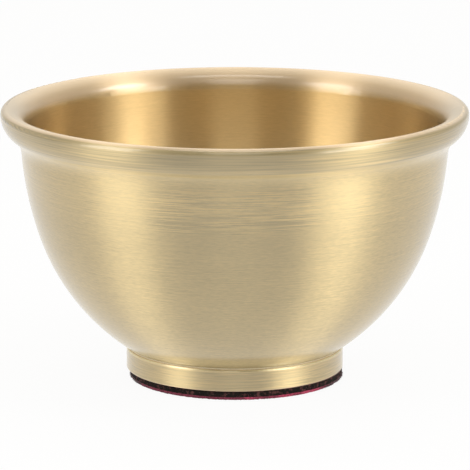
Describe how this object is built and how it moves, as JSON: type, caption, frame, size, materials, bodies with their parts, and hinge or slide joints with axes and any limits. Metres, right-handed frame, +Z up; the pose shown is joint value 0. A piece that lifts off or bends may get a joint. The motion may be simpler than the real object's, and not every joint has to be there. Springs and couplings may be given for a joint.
{
  "type": "offering bowl",
  "caption": "Small brushed brass offering bowl with a flared rounded lip, a brazed foot ring and a felt-faced pad, for water, rice or incense offerings",
  "frame": {"origin": "on the axis of the bowl, at the table that the pad stands on", "axes": "+Z up along the axis of the bowl, X and Y level; -Y faces the picture's camera"},
  "size_m": [0.08, 0.08, 0.0471],
  "materials": {
    "brushed_brass": "satin, brushed around the axis",
    "turned_brass": "satin, fine turning lines",
    "brazing": "dull as-brazed",
    "adhesive_film": "tacky film",
    "pad_black": "matte foam rubber",
    "pad_maroon": "pressed felt"
  },
  "bodies": {
    "root": {"bowl_shell": "brushed_brass", "foot_ring": "turned_brass", "foot_solder": "brazing", "pad_adhesive": "adhesive_film", "pad_backing": "pad_black", "pad_felt": "pad_maroon"}
  },
  "joints": []
}
